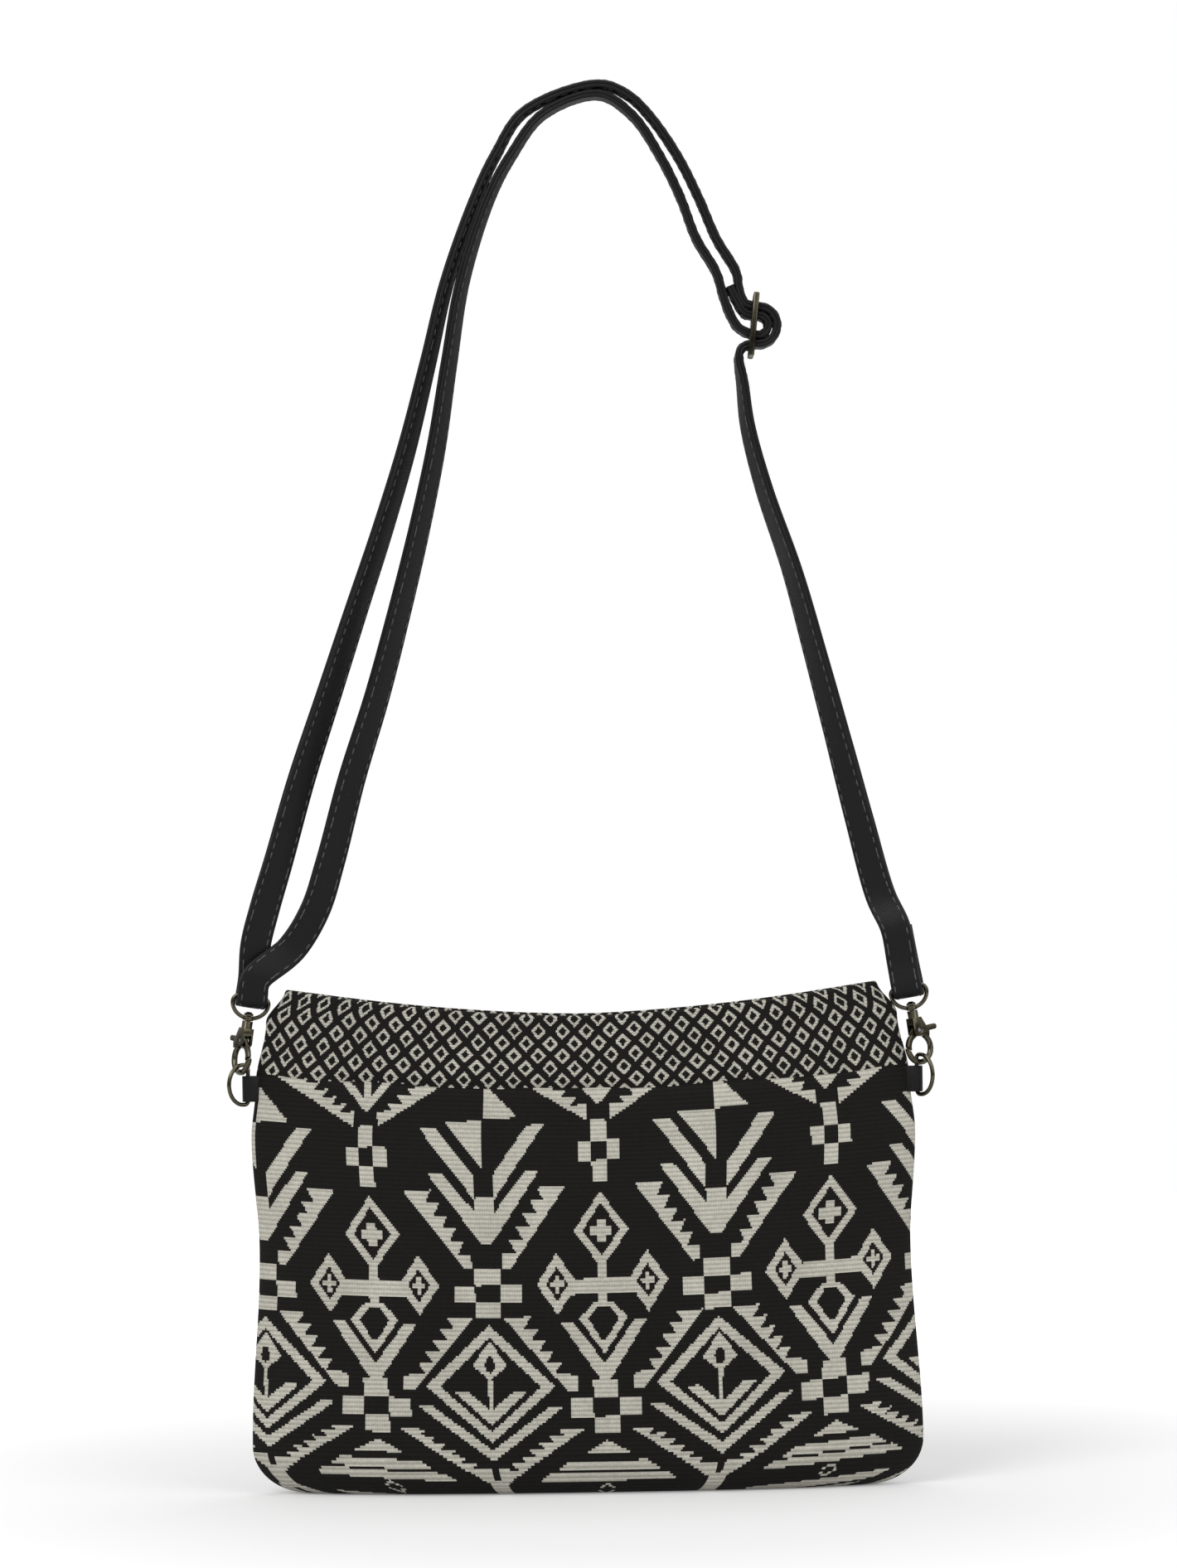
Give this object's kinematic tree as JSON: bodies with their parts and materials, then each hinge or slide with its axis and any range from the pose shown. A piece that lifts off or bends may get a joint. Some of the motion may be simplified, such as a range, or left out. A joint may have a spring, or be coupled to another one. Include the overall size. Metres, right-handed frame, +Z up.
{
  "type": "crossbody bag",
  "caption": "Soft zipped cloth pouch in woven geometric jacquard on a long adjustable two-layer strap, joined by swivel hooks to rings in the side seams.",
  "frame": {"origin": "underside of the strap's lower layer at its crown, where the bag is carried", "axes": "+Z up the hanging bag, +X to the bag's right as seen from the front, +Y towards its back"},
  "size_m": [0.3049, 0.044, 0.6043],
  "materials": {
    "woven_jacquard": "matt woven cotton jacquard in black and ecru with a bold traditional geometric repeat",
    "yoke_jacquard": "matt woven cotton jacquard with small outlined diamonds",
    "lining_cloth": "matt plain-woven polyester",
    "zip_tape": "matt woven polyester tape",
    "zip_nylon": "satin nylon coil",
    "strap_leather": "satin black coated leather with a fine grain and stitched edges",
    "gunmetal": "polished dark nickel plating on die-cast zinc",
    "pin_steel": "bright drawn steel"
  },
  "bodies": {
    "strap_loop": {"strap": "strap_leather", "strap_adjuster": "gunmetal", "hook_eye_left": "gunmetal", "hook_eye_right": "gunmetal"},
    "left_hook": {"hook_left": "gunmetal", "gate_pin_left": "pin_steel", "gate_spring_left": "pin_steel"},
    "right_hook": {"hook_right": "gunmetal", "gate_pin_right": "pin_steel", "gate_spring_right": "pin_steel"},
    "left_gate": {"hook_gate_left": "gunmetal"},
    "right_gate": {"hook_gate_right": "gunmetal"},
    "left_ring": {"d_ring_left": "gunmetal"},
    "right_ring": {"d_ring_right": "gunmetal"},
    "pouch": {"front_panel": "woven_jacquard", "back_panel": "woven_jacquard", "front_yoke": "yoke_jacquard", "back_yoke": "yoke_jacquard", "front_lining": "lining_cloth", "back_lining": "lining_cloth", "zip_tape_front": "zip_tape", "zip_tape_back": "zip_tape", "zip_coil_front": "zip_nylon", "zip_coil_back": "zip_nylon", "zip_stop_left": "gunmetal", "zip_stop_right": "gunmetal", "ring_tab_left": "strap_leather", "ring_tab_right": "strap_leather"},
    "zip_runner": {"zip_slider": "gunmetal"},
    "zip_tab": {"zip_pull": "gunmetal"}
  },
  "joints": [
    {"name": "bag_swing", "type": "hinge", "parent": "strap_loop", "child": "pouch", "pos_m": [0, -0.0024, -0.41232], "axis": [1, 0, 0], "range_deg": [-18, 18]},
    {"name": "left_swivel", "type": "hinge", "parent": "strap_loop", "child": "left_hook", "pos_m": [-0.16054, -0.0024, -0.4154], "axis": [0.1736, 0, 0.9848], "range_deg": [-15, 15]},
    {"name": "right_swivel", "type": "hinge", "parent": "strap_loop", "child": "right_hook", "pos_m": [0.13227, -0.0024, -0.4154], "axis": [-0.1736, 0, 0.9848], "range_deg": [-15, 15]},
    {"name": "left_gate_hinge", "type": "hinge", "parent": "left_hook", "child": "left_gate", "pos_m": [-0.15814, -0.0024, -0.40181], "axis": [0.8259, 0.5446, -0.1456], "range_deg": [0, 25], "stiffness_Nm_per_rad": 0.02},
    {"name": "right_gate_hinge", "type": "hinge", "parent": "right_hook", "child": "right_gate", "pos_m": [0.12987, -0.0024, -0.40181], "axis": [0.5789, -0.809, 0.1021], "range_deg": [0, 25], "stiffness_Nm_per_rad": 0.02},
    {"name": "left_ring_hinge", "type": "hinge", "parent": "pouch", "child": "left_ring", "pos_m": [-0.15711, 0, -0.4208], "axis": [0, 0, 1], "range_deg": [-8, 8]},
    {"name": "right_ring_hinge", "type": "hinge", "parent": "pouch", "child": "right_ring", "pos_m": [0.13011, 0, -0.4208], "axis": [0, 0, 1], "range_deg": [-8, 8]},
    {"name": "zip_run", "type": "slide", "parent": "pouch", "child": "zip_runner", "axis": [1, 0, 0], "range_m": [0, 0.199]},
    {"name": "pull_hinge", "type": "hinge", "parent": "zip_runner", "child": "zip_tab", "pos_m": [-0.1133, 0, -0.4009], "axis": [0, -1, 0], "range_deg": [0, 150]}
  ]
}
